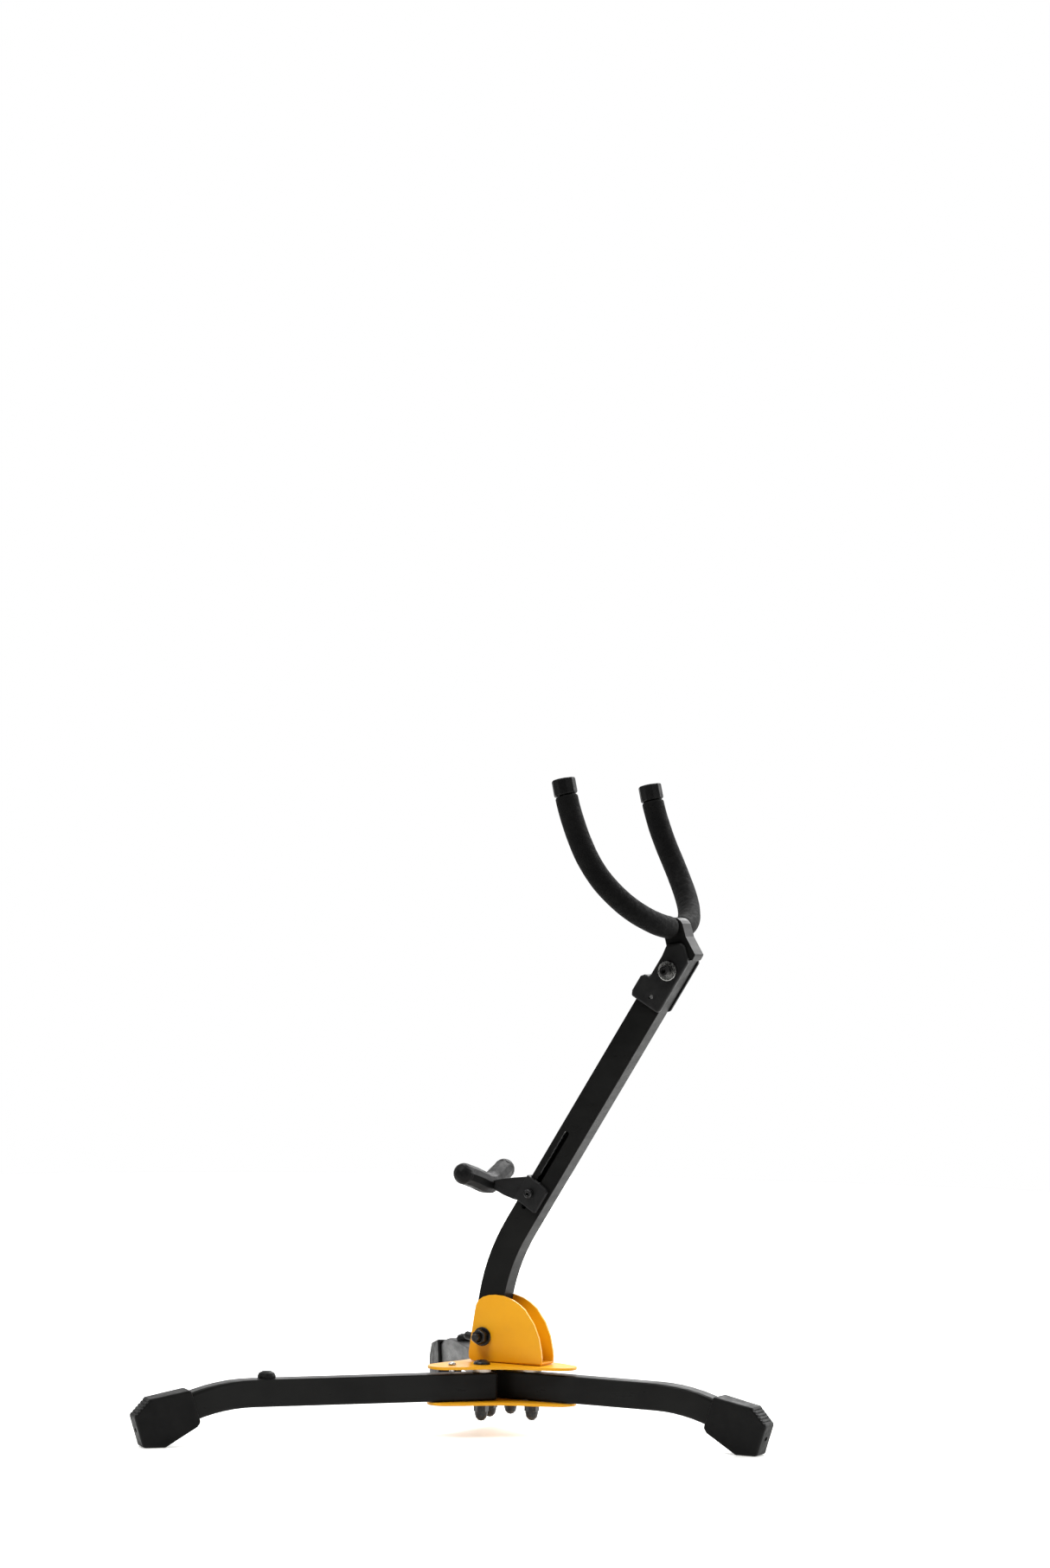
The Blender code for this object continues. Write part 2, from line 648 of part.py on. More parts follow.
def make_fold_button(frame):
    """The release button in the back of the upright. It points along +Z of its own mesh."""
    profile = [(0.0, 9.2), (1.9, 9.0), (2.5, 8.2), (2.6, 0.0), (3.6, 0.0), (3.6, -1.0), (0.0, -1.0)]
    button = mesh_object("fold_release_button", turned_mesh("fold_release_button", profile, 16), PLASTIC)
    smooth(button)
    local = shifted(x=-UPRIGHT_DEPTH / 2 + TUBE_WALL + GAP + 0.05, z=-3.6, about="Y", degrees=-90.0)
    return place(button, frame, local)


# ---------------------------------------------------------------- lower rest


def make_rest(slider):
    """A U-shaped collar, open to the front, with an arm behind it, and its clamping screw and nut."""
    half_y = TUBE_WIDTH / 2 + 2.6
    body = [(-10.2, -8.2), (6.0, -8.2), (6.7, -7.5), (6.7, 7.0), (5.2, 8.6), (-10.2, 8.6)]
    mesh = outline_mesh("rest_collar", [body], 2 * half_y, upright=True)
    collar = mesh_object("rest_collar", mesh, PLASTIC)
    bevelled(collar, 1.4)
    arm = [(-7.0, -8.0), (-10.8, -9.6), (-18.0, -11.9), (-26.2, -13.6), (-29.6, -9.4), (-24.6, -4.4)]
    arm += [(-16.5, 2.0), (-10.5, 6.8), (-7.0, 8.2)]
    arm_mesh = outline_mesh("rest_arm", [arm], 12.0, upright=True)
    for vertex in arm_mesh.vertices:
        reach = min(max((-vertex.co.x / MM - 9.0) / 20.0, 0.0), 1.0)
        vertex.co.y *= 1.35 - 0.8 * reach
    tool = mesh_object("rest_arm_solid", arm_mesh, PLASTIC, CUTTERS)
    bevelled(tool, 1.6)
    boolean(collar, frozen_mesh(tool, "rest_arm_rounded"), None, "UNION")
    inner = UPRIGHT_DEPTH / 2 + GAP
    side = TUBE_WIDTH / 2 + GAP
    boolean(collar, box_mesh("rest_passage", (-inner, -side, -20.0), (inner, side, 30.0)))
    across = Matrix.Rotation(math.radians(90.0), 4, "X")
    drill = prism_mesh("rest_screw_hole", 14, 1.4 + GAP, 40.0, -20.0)
    boolean(collar, drill, shifted(x=SLOT_OFFSET) @ across)
    boolean(collar, swept_mesh("rest_fork_seat", fork_path(), FORK_RADIUS + GAP, 3))
    peg = prism_mesh("rest_peg", 12, PEG_RADIUS, PEG_LENGTH)
    boolean(collar, peg, peg_place(), "UNION")
    smooth(collar)
    place(collar, slider)

    reach = half_y + GAP
    head = [(0.0, reach + 2.6), (2.2, reach + 2.6), (2.7, reach + 2.1), (2.7, reach), (1.4, reach)]
    profile = head + [(1.4, -reach - 3.4), (0.0, -reach - 3.4)]
    screw = mesh_object("rest_screw", turned_mesh("rest_screw", profile, 14), BLACK_STEEL)
    boolean(screw, prism_mesh("rest_screw_socket", 6, 1.3, 3.0, reach + 1.2))
    smooth(screw)
    place(screw, slider, shifted(x=SLOT_OFFSET) @ across)
    nut = mesh_object("rest_nut", prism_mesh("rest_nut", 6, 3.1, 2.4), BLACK_STEEL)
    boolean(nut, prism_mesh("rest_nut_thread", 14, 1.4 + GAP, 8.0, -2.0))
    smooth(nut)
    place(nut, slider, shifted(x=SLOT_OFFSET) @ across @ shifted(z=-reach - 2.4))


def fork_path():
    """The fork's centre line in the slider's frame: a shallow V across the stand."""
    flat = FORK_APEX.lerp(FORK_END, 0.22) + Vector((0.3, 0.0, -0.6))
    half = [FORK_APEX, flat, FORK_APEX.lerp(FORK_END, 0.6), FORK_END]
    left = smooth_path([Vector((p.x, -p.y, p.z)) for p in half[::-1]], 2)
    right = smooth_path(half, 2)
    return left[:-1] + right


def peg_place():
    """The frame of the arm's peg: its +Z runs from the arm into the fork."""
    aim = Vector((PEG_END[0] - PEG_START[0], 0.0, PEG_END[1] - PEG_START[1]))
    turn = aim.to_track_quat("Z", "Y").to_matrix().to_4x4()
    return shifted(x=PEG_START[0], z=PEG_START[1]) @ turn


def make_fork(slider):
    """The rubber fork across the end of the arm, with round ends and a blind hole for the arm's peg."""
    fork = mesh_object("rest_fork", swept_mesh("rest_fork", fork_path(), FORK_RADIUS, 3), RUBBER)
    for side in (-1.0, 1.0):
        ball = bmesh.new()
        bmesh.ops.create_uvsphere(ball, u_segments=16, v_segments=10, radius=(FORK_RADIUS + 0.1) * MM)
        mesh = bpy.data.meshes.new("rest_fork_ball")
        ball.to_mesh(mesh)
        ball.free()
        boolean(fork, mesh, shifted(FORK_END.x, side * FORK_END.y, FORK_END.z), "UNION")
    hole = prism_mesh("rest_peg_hole", 12, PEG_RADIUS + GAP, PEG_LENGTH + GAP)
    boolean(fork, hole, peg_place())
    smooth(fork, 50.0)
    return place(fork, slider)


# ---------------------------------------------------------------- yoke hinge and yoke


def make_housing(straight):
    """The plastic hinge housing on the top of the tube: two cheeks and a thick pad behind the tube."""
    cheek = [(9.4, -23.5), (9.4, 10.4), (7.6, 13.2), (1.4, 18.0), (-1.6, 18.2), (-4.6, 15.4), (-8.4, 12.4)]
    cheek += [(-7.4, 5.0), (-7.4, -9.4), (-10.8, -10.2), (-12.7, -12.6), (-12.7, -22.6), (-11.2, -25.6)]
    cheek += [(8.0, -25.0)]
    half = TUBE_WIDTH / 2 + GAP + 2.4
    mesh = outline_mesh("hinge_housing", [cheek], 2 * half, upright=True)
    housing = mesh_object("hinge_housing", mesh, PLASTIC)
    bevelled(housing, 1.1)
    depth = UPRIGHT_DEPTH / 2 + GAP
    side = TUBE_WIDTH / 2 + GAP
    boolean(housing, box_mesh("housing_space", (-depth, -side, -60.0), (30.0, side, 60.0)))
    boolean(housing, box_mesh("housing_swing", (-30.0, -side, -9.0), (0.0, side, 60.0)))
    across = Matrix.Rotation(math.radians(90.0), 4, "X")
    drill = prism_mesh("housing_hole", 16, 2.0 + GAP, 40.0, -20.0)
    boolean(housing, drill, shifted(x=YOKE_AXIS_OFFSET) @ across)
    pin_hole = prism_mesh("housing_pin_hole", 12, PIN_RADIUS + GAP, 40.0, -20.0)
    boolean(housing, pin_hole, shifted(z=PIN_ALONG) @ across)
    smooth(housing)
    place(housing, straight)

    pin_mesh = prism_mesh("housing_pin", 12, PIN_RADIUS, 2 * half - 1.2, 0.6 - half)
    pin = smooth(mesh_object("housing_pin", pin_mesh, BRIGHT_STEEL))
    place(pin, straight, shifted(z=PIN_ALONG) @ across)
    return half


def make_yoke_bolt(straight, half):
    across = Matrix.Rotation(math.radians(90.0), 4, "X")
    place_axis = shifted(x=YOKE_AXIS_OFFSET) @ across
    thickness = 1.2
    start = half + GAP
    for name, low in (("near_yoke_washer", start), ("far_yoke_washer", -start - thickness)):
        washer = make_washer(name, 2.0 + GAP, 5.8, thickness, BRIGHT_STEEL, 24)
        place(washer, straight, place_axis @ shifted(z=low))
    reach = start + thickness + GAP
    head = [(0.0, reach + 4.0), (2.7, reach + 4.0), (3.3, reach + 3.4), (3.3, reach), (2.0, reach)]
    profile = head + [(2.0, -reach - 4.4), (0.0, -reach - 4.4)]
    bolt = mesh_object("yoke_bolt", turned_mesh("yoke_bolt", profile, 16), BLACK_STEEL)
    boolean(bolt, prism_mesh("yoke_bolt_socket", 6, 1.7, 4.0, reach + 2.0))
    smooth(bolt)
    place(bolt, straight, place_axis)
    nut = mesh_object("yoke_nut", prism_mesh("yoke_nut", 6, 4.0, 3.4), BLACK_STEEL)
    boolean(nut, prism_mesh("yoke_nut_thread", 16, 2.0 + GAP, 8.0, -2.0))
    smooth(nut)
    place(nut, straight, place_axis @ shifted(z=-reach - 3.4))


def make_stem(yoke):
    """The stem between the cheeks. Its barrel turns on the bolt and its shoulder stops on the tube's end."""
    barrel = 5.7
    outline = arc(0.0, 0.0, barrel, 0.0, -180.0, 12)
    outline += [(-6.8, 8.0), (-15.6, 16.2)]
    outline += arc(-11.9, 21.6, 7.1, 210.0, 62.0, 9)
    outline += [(-2.6, 22.6), (8.3, 17.2), (8.7, 16.2), (8.7, 13.0), (5.2, 13.0), (5.2, 6.0)]
    mesh = outline_mesh("yoke_stem", [outline], TUBE_WIDTH - 0.2, upright=True)
    stem = mesh_object("yoke_stem", mesh, BLACK_PAINT)
    bevelled(stem, 0.7)
    across = Matrix.Rotation(math.radians(90.0), 4, "X")
    boolean(stem, prism_mesh("stem_hole", 16, 2.0 + GAP, 40.0, -20.0), across)
    smooth(stem)
    return place(stem, yoke)


def yoke_half_path():
    """Half of the bar's centre line, from the middle to the left tip: a half circle and a straight arm,
    drawn flat and then rolled back over a cylinder across the stand."""
    angles = [math.radians(6.0 * i) for i in range(16)]
    flat = [(YOKE_HALF_WIDTH * math.sin(a), YOKE_HALF_WIDTH * (1 - math.cos(a))) for a in angles]
    steps = 5
    run = YOKE_REACH - YOKE_HALF_WIDTH
    flat += [(YOKE_HALF_WIDTH, YOKE_HALF_WIDTH + run * i / steps) for i in range(1, steps + 1)]
    lean = math.radians(YOKE_BASE_LEAN)
    path = []
    for y, reach in flat:
        turned = lean - reach / YOKE_ROLL_RADIUS
        x = YOKE_BASE[0] - YOKE_ROLL_RADIUS * (math.cos(turned) - math.cos(lean))
        z = YOKE_BASE[1] + YOKE_ROLL_RADIUS * (math.sin(lean) - math.sin(turned))
        path.append(Vector((x, -y, z)))
    return path


def trimmed(points, start, end):
    """The stretch of a path between two lengths from its first point, in millimetres."""
    found, travelled = [], 0.0
    for a, b in zip(points, points[1:]):
        length = (b - a).length
        for wanted in (start, end):
            if travelled <= wanted < travelled + length:
                found.append((wanted, a.lerp(b, (wanted - travelled) / length)))
        travelled += length
        if start < travelled < end:
            found.append((travelled, b))
    found.sort(key=lambda item: item[0])
    kept = [found[0][1]]
    for _, spot in found[1:]:
        if (spot - kept[-1]).length > 0.6:
            kept.append(spot)
    return kept


def path_length(points):
    return sum((b - a).length for a, b in zip(points, points[1:]))


def on_side(points, side):
    """The same path on the left for side 1, or mirrored to the right for side -1."""
    return [Vector((p.x, side * p.y, p.z)) for p in points]


def make_yoke(yoke, axis_point):
    """The bent steel bar, the stem that it is welded to, two foam sleeves and two end caps."""
    half = yoke_half_path()
    total = path_length(half)
    to_yoke = Matrix.Rotation(math.radians(-UPPER_LEAN), 4, "Y")
    to_yoke = to_yoke @ Matrix.Translation(-Vector((axis_point.x, 0.0, axis_point.y)) * MM)
    bar_half = trimmed(half, 0.0, total - 4.5)
    bar_path = on_side(bar_half[1:], -1.0)[::-1] + bar_half
    bar = mesh_object("yoke_bar", swept_mesh("yoke_bar", bar_path, YOKE_BAR_RADIUS, 2), BLACK_PAINT)
    smooth(bar, 60.0)
    place(bar, yoke, to_yoke)
    seat_path = trimmed(half, 0.0, 14.0)
    seat_path = on_side(seat_path[1:], -1.0)[::-1] + seat_path
    seat = swept_mesh("stem_seat", seat_path, FOAM_BORE_RADIUS, 2)
    boolean(make_stem(yoke), seat, to_yoke)

    sleeve = trimmed(half, 7.2, total - CAP_LENGTH)
    bore = trimmed(half, 2.0, total - CAP_LENGTH + 4.0)
    cap = trimmed(half, total - CAP_LENGTH + GAP, total - 0.01)
    cap_bore = trimmed(half, total - CAP_LENGTH - 6.0, total - 4.0)
    for name, side in (("left", 1.0), ("right", -1.0)):
        foam_mesh = swept_mesh(f"{name}_foam", on_side(sleeve, side), FOAM_RADIUS, 3)
        foam = mesh_object(f"{name}_yoke_foam", foam_mesh, FOAM)
        boolean(foam, swept_mesh(f"{name}_foam_bore", on_side(bore, side), FOAM_BORE_RADIUS, 3))
        smooth(foam, 60.0)
        place(foam, yoke, to_yoke)
        cap_mesh = swept_mesh(f"{name}_cap", on_side(cap, side), FOAM_RADIUS + 0.3, 3)
        end = mesh_object(f"{name}_yoke_cap", cap_mesh, RUBBER)
        bevelled(end, 2.6, 3, 50.0)
        boolean(end, swept_mesh(f"{name}_cap_bore", on_side(cap_bore, side), FOAM_BORE_RADIUS, 3))
        smooth(end, 60.0)
        place(end, yoke, to_yoke)


def build():
    make_hub()
    hub_holes = [(16.9 - FRONT_SHIFT, 2.5 + GAP), (-11.8 - FRONT_SHIFT, 2.5 + GAP)]
    front = joint_frame("front_leg_frame", (FRONT_SHIFT, 0.0, 0.0))
    make_leg("front_leg", front, FRONT_INNER_END - FRONT_SHIFT, hub_holes)
    make_foot("front_foot", front)
    for name, side in (("left", -1.0), ("right", 1.0)):
        spot = (REAR_PIVOT[0], side * REAR_PIVOT[1], 0.0)
        frame = joint_frame(f"{name}_leg_frame", spot, (0.0, 0.0, 180.0 - side * REAR_SPREAD))
        make_leg(f"{name}_rear_leg", frame, REAR_INNER_END, [(0.0, 2.5 + GAP)])
        make_foot(f"{name}_rear_foot", frame)
        make_bumper(f"{name}_leg_bumper", frame)

    fold = joint_frame("fold_frame", (FOLD_AXIS[0], 0.0, FOLD_AXIS[1]))
    top = upper_point(YOKE_AXIS_ALONG)
    axis_point = upper_point(YOKE_AXIS_ALONG, YOKE_AXIS_OFFSET)
    straight = joint_frame("hinge_frame", (top.x, 0.0, top.y), (0.0, UPPER_LEAN, 0.0), fold)
    yoke = joint_frame("yoke_frame", (axis_point.x, 0.0, axis_point.y), (0.0, UPPER_LEAN, 0.0), fold)
    clamp = upper_point(REST_ALONG)
    slider = joint_frame("rest_frame", (clamp.x, 0.0, clamp.y), (0.0, UPPER_LEAN, 0.0), fold)
    button = joint_frame("button_frame", (FOLD_AXIS[0], 0.0, FOLD_AXIS[1]), (0.0, LOWER_LEAN, 0.0), fold)

    make_upright(fold, straight)
    make_fold_pivot(fold)
    make_fold_button(button)
    half = make_housing(straight)
    make_yoke_bolt(straight, half)
    make_yoke(yoke, axis_point)
    make_rest(slider)
    make_fork(slider)

    stand = joint_frame("stand_frame", (HUB_X, 0.0, 0.0))
    for obj in list(PARTS.objects):
        if obj.parent is None and obj != stand:
            obj.parent = stand


clear_scene()
PARTS = new_collection("saxophone_stand")
CUTTERS = new_collection("cutters")
CUTTERS.hide_render = True
build()
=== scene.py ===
"""The looks of a folding saxophone stand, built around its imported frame. Metres, +Z up."""

import json
import math

import bpy
from mathutils import Matrix, Vector, noise


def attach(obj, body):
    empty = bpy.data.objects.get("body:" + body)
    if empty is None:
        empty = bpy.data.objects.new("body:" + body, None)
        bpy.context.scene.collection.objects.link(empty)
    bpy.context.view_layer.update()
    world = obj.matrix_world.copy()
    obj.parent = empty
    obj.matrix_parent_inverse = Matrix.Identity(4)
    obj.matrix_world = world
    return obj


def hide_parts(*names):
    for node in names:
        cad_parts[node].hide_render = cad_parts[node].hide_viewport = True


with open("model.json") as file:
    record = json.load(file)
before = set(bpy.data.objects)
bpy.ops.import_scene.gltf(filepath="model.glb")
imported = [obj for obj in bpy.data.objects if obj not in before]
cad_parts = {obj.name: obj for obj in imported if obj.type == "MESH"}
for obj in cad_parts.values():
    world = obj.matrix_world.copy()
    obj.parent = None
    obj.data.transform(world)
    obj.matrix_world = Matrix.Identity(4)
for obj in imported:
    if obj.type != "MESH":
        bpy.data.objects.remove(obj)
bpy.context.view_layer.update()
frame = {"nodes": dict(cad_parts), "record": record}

MM = 0.001
HUB_X = -10.03 * MM  # the middle of the hub in the frame

# The yoke's centre line: a half circle and two straight arms, rolled back over a cylinder.
YOKE_BASE = (108.0 * MM + HUB_X, 306.0 * MM)  # X and Z of its lowest point
YOKE_HALF_WIDTH = 57.0 * MM
YOKE_BASE_LEAN = math.radians(46.0)
YOKE_ROLL_RADIUS = 165.0 * MM
YOKE_REACH = 100.0 * MM  # from the lowest point to the tips, before rolling
YOKE_BEND_STEP = math.radians(1.5)
YOKE_BEND_STEPS = 60
YOKE_ARM_STEPS = 40
UP_THE_YOKE = Vector((-0.55, 0.0, 0.83))

# The foam sleeves on the yoke's bar.
FOAM_RADIUS = 6.75 * MM
FOAM_BORE = 4.4 * MM
FOAM_START = 7.35 * MM  # along the bar from the yoke's middle
FOAM_END_MARGIN = 10.1 * MM  # from the bar's tip
FOAM_CORNER = 1.5 * MM
FOAM_LIP = 3.0 * MM  # the stretch of bore inside each end
FOAM_SIDES = 48
FOAM_STEP = 0.9 * MM
CREASED_LENGTH = 88.0 * MM
CREASE_DEPTH = 0.22 * MM
SKIN_UNEVENNESS = 0.16 * MM

FLOOR_CENTRE = (-0.33, 0.62, -0.2 * MM)
FLOOR_REACH = 1.45
FLOOR_SIDES = 96

CAMERA_PLACE = (1128.8 * MM + HUB_X, -2098.5 * MM, 326.4 * MM)
CAMERA_AZIMUTH = math.radians(28.17)
CAMERA_TILT = math.radians(1.56)
CAMERA_ROLL = math.radians(0.98)
CAMERA_LENS = 90.36


# ---------------------------------------------------------------- materials


class Shader:
    """A Principled material with short calls for the nodes that drive it."""

    def __init__(self, name, **values):
        self.material = bpy.data.materials.new(name)
        self.material.use_nodes = True
        self.tree = self.material.node_tree
        self.surface = self.tree.nodes["Principled BSDF"]
        for socket, value in values.items():
            self.surface.inputs[socket.replace("_", " ")].default_value = value
        self.place = self.tree.nodes.new("ShaderNodeTexCoord").outputs["Object"]

    def link(self, source, target):
        self.tree.links.new(source, target)
        return source

    def stretched(self, scale):
        mapping = self.tree.nodes.new("ShaderNodeMapping")
        mapping.inputs["Scale"].default_value = scale
        self.link(self.place, mapping.inputs["Vector"])
        return mapping.outputs["Vector"]

    def noise(self, scale, detail=3.0, rough=0.5, place=None):
        node = self.tree.nodes.new("ShaderNodeTexNoise")
        node.inputs["Scale"].default_value = scale
        node.inputs["Detail"].default_value = detail
        node.inputs["Roughness"].default_value = rough
        self.link(place or self.place, node.inputs["Vector"])
        return node.outputs["Fac"]

    def cells(self, scale):
        node = self.tree.nodes.new("ShaderNodeTexVoronoi")
        node.feature = "F1"
        node.inputs["Scale"].default_value = scale
        self.link(self.place, node.inputs["Vector"])
        return node.outputs["Distance"]

    def between(self, fac, low, high, start=0.35, end=0.65):
        """Maps fac from start..end to low..high, and holds it there outside that range."""
        node = self.tree.nodes.new("ShaderNodeMapRange")
        node.inputs["From Min"].default_value = start
        node.inputs["From Max"].default_value = end
        node.inputs["To Min"].default_value = low
        node.inputs["To Max"].default_value = high
        self.link(fac, node.inputs["Value"])
        return node.outputs["Result"]

    def mix(self, fac, first, second):
        """The first colour at fac 0 and the second at 1; each is an RGB tuple or an output."""
        node = self.tree.nodes.new("ShaderNodeMix")
        node.data_type = "RGBA"
        self.link(fac, node.inputs["Factor"])
        for socket, value in ((node.inputs[6], first), (node.inputs[7], second)):
            if isinstance(value, tuple):
                socket.default_value = (*value, 1.0)
            else:
                self.link(value, socket)
        return node.outputs[2]

    def maths(self, operation, first, second):
        node = self.tree.nodes.new("ShaderNodeMath")
        node.operation = operation
        for socket, value in zip(node.inputs, (first, second)):
            if isinstance(value, float):
                socket.default_value = value
            else:
                self.link(value, socket)
        return node.outputs[0]

    def edges(self, radius, start, end):
        """1 on edges and 0 on flat faces, broken up by noise."""
        bevel = self.tree.nodes.new("ShaderNodeBevel")
        bevel.samples = 6
        bevel.inputs["Radius"].default_value = radius
        geometry = self.tree.nodes.new("ShaderNodeNewGeometry")
        dot = self.tree.nodes.new("ShaderNodeVectorMath")
        dot.operation = "DOT_PRODUCT"
        self.link(bevel.outputs["Normal"], dot.inputs[0])
        self.link(geometry.outputs["True Normal"], dot.inputs[1])
        sharp = self.between(dot.outputs["Value"], 1.0, 0.0, start, end)
        broken = self.between(self.noise(260.0, 4.0, 0.7), 0.0, 1.0, 0.45, 0.65)
        return self.maths("MULTIPLY", sharp, broken)

    def bumped(self, height, distance, strength, rounded=0.0):
        """Bumps the surface by a height. With a rounded radius, its edges are shaded as if they had it."""
        bump = self.tree.nodes.new("ShaderNodeBump")
        bump.inputs["Distance"].default_value = distance
        bump.inputs["Strength"].default_value = strength
        self.link(height, bump.inputs["Height"])
        if rounded:
            bevel = self.tree.nodes.new("ShaderNodeBevel")
            bevel.samples = 6
            bevel.inputs["Radius"].default_value = rounded
            self.link(bevel.outputs["Normal"], bump.inputs["Normal"])
        self.link(bump.outputs["Normal"], self.surface.inputs["Normal"])

    def set(self, socket, source):
        self.link(source, self.surface.inputs[socket])


def amber_paint():
    s = Shader("amber_powder_coat", Coat_Weight=0.06, Coat_Roughness=0.18, Specular_IOR_Level=0.22)
    tone = s.mix(s.between(s.noise(38.0, 4.0), 0.0, 1.0), (0.76, 0.35, 0.006), (0.71, 0.32, 0.005))
    grime = s.between(s.noise(150.0, 5.0, 0.7), 0.0, 0.12, 0.55, 0.78)
    tone = s.mix(grime, tone, (0.5, 0.24, 0.02))
    tone = s.mix(s.edges(0.0006, 0.8, 0.985), tone, (0.52, 0.28, 0.05))
    s.set("Base Color", tone)
    s.set("Roughness", s.between(s.noise(90.0, 4.0), 0.3, 0.44))
    peel = s.maths("ADD", s.noise(620.0, 2.0), s.maths("MULTIPLY", s.noise(2600.0, 2.0), 0.35))
    s.bumped(peel, 0.00007, 0.55, rounded=0.0005)
    return s.material


def black_paint():
    s = Shader("black_powder_coat", Coat_Weight=0.01, Coat_Roughness=0.2, Specular_IOR_Level=0.08)
    tone = s.mix(s.between(s.noise(30.0, 4.0), 0.0, 1.0), (0.0058, 0.0058, 0.0056), (0.0088, 0.0088, 0.0084))
    dust = s.between(s.noise(1500.0, 3.0, 0.6), 0.0, 0.35, 0.68, 0.8)
    tone = s.mix(dust, tone, (0.014, 0.0138, 0.013))
    tone = s.mix(s.edges(0.0004, 0.8, 0.985), tone, (0.012, 0.0118, 0.0115))
    s.set("Base Color", tone)
    scuffs = s.noise(45.0, 6.0, 0.65, place=s.stretched((1.0, 1.0, 3.5)))
    s.set("Roughness", s.between(scuffs, 0.27, 0.42))
    grain = s.maths("ADD", s.noise(1500.0, 2.0), s.maths("MULTIPLY", s.noise(480.0, 2.0), 0.6))
    s.bumped(grain, 0.00002, 0.3, rounded=0.00012)
    return s.material


def rubber():
    s = Shader("moulded_rubber", Specular_IOR_Level=0.1)
    bloom = s.between(s.noise(70.0, 5.0, 0.6), 0.0, 1.0, 0.4, 0.7)
    tone = s.mix(bloom, (0.0034, 0.0034, 0.0034), (0.0062, 0.0061, 0.006))
    tone = s.mix(s.edges(0.0008, 0.8, 0.985), tone, (0.024, 0.0235, 0.0225))
    s.set("Base Color", tone)
    s.set("Roughness", s.between(s.noise(180.0, 5.0, 0.65), 0.4, 0.6))
    pits = s.maths("ADD", s.noise(1900.0, 3.0, 0.6), s.maths("MULTIPLY", s.noise(350.0, 3.0), 0.8))
    s.bumped(pits, 0.0001, 0.4, rounded=0.0005)
    return s.material


def foam():
    s = Shader("closed_cell_foam", Sheen_Weight=0.012, Sheen_Roughness=0.45, Specular_IOR_Level=0.07)
    patches = s.between(s.noise(60.0, 4.0, 0.6), 0.0, 1.0)
    tone = s.mix(patches, (0.0028, 0.0028, 0.0028), (0.0048, 0.0047, 0.0045))
    # Painted shade: the pits of the foam's skin, where the bump below dips at each cell's centre, are
    # darkened towards a deeper black.
    painted_pore_shade = s.between(s.cells(1500.0), 1.0, 0.0, 0.05, 0.4)
    tone = s.mix(s.maths("MULTIPLY", painted_pore_shade, 0.7), tone, (0.0025, 0.0025, 0.0025))
    s.set("Base Color", tone)
    s.set("Roughness", s.between(s.noise(420.0, 4.0, 0.6), 0.66, 0.88))
    skin = s.maths("ADD", s.cells(1500.0), s.maths("MULTIPLY", s.noise(260.0, 4.0), 1.3))
    s.bumped(skin, 0.00022, 0.6)
    return s.material


def plastic():
    s = Shader("textured_nylon_moulding", Specular_IOR_Level=0.22)
    tone = s.mix(s.between(s.noise(50.0, 4.0), 0.0, 1.0), (0.005, 0.005, 0.0052), (0.0078, 0.0078, 0.0077))
    tone = s.mix(s.edges(0.0007, 0.8, 0.985), tone, (0.026, 0.026, 0.026))
    s.set("Base Color", tone)
    s.set("Roughness", s.between(s.noise(230.0, 4.0), 0.4, 0.55))
    leather = s.maths("ADD", s.cells(1250.0), s.maths("MULTIPLY", s.noise(700.0, 3.0), 0.5))
    s.bumped(leather, 0.00006, 0.4, rounded=0.0008)
    return s.material


def black_steel():
    s = Shader("black_oxide_steel", Metallic=0.85, Specular_IOR_Level=0.5)
    tone = s.mix(s.between(s.noise(320.0, 5.0, 0.7), 0.0, 1.0), (0.022, 0.022, 0.0235), (0.045, 0.044, 0.043))
    tone = s.mix(s.edges(0.0005, 0.75, 0.98), tone, (0.2, 0.195, 0.19))
    s.set("Base Color", tone)
    s.set("Roughness", s.between(s.noise(520.0, 5.0, 0.65), 0.26, 0.42))
    turned = s.noise(900.0, 3.0, 0.6, place=s.stretched((1.0, 1.0, 4.0)))
    s.bumped(turned, 0.00005, 0.5, rounded=0.0005)
    return s.material


def bright_steel():
    s = Shader("zinc_plated_steel", Metallic=1.0)
    tone = s.mix(s.between(s.noise(420.0, 5.0, 0.7), 0.0, 1.0), (0.66, 0.655, 0.63), (0.5, 0.5, 0.49))
    s.set("Base Color", tone)
    s.set("Roughness", s.between(s.noise(800.0, 4.0, 0.6), 0.2, 0.36))
    s.bumped(s.noise(1600.0, 3.0), 0.00004, 0.45, rounded=0.0005)
    return s.material


def nylon():
    s = Shader("natural_nylon", Specular_IOR_Level=0.45)
    tone = s.mix(s.between(s.noise(260.0, 4.0), 0.0, 1.0), (0.66, 0.65, 0.61), (0.56, 0.55, 0.51))
    s.set("Base Color", tone)
    s.set("Roughness", s.between(s.noise(600.0, 3.0), 0.42, 0.58))
    s.bumped(s.noise(1400.0, 3.0), 0.00005, 0.5)
    return s.material


MAKERS = {
    "amber_paint": amber_paint,
    "black_paint": black_paint,
    "rubber": rubber,
    "foam": foam,
    "plastic": plastic,
    "black_steel": black_steel,
    "bright_steel": bright_steel,
    "nylon": nylon,
}
MATERIALS = {name: make() for name, make in MAKERS.items()}


def paint_frame():
    slots = {part["node"]: part["material_slot"] for part in frame["record"]["subparts"]}
    for name, obj in frame["nodes"].items():
        finish = MATERIALS[slots[name]]
        if not obj.material_slots:
            obj.data.materials.append(finish)
        for material_slot in obj.material_slots:
            material_slot.material = finish


# ---------------------------------------------------------------- foam sleeves


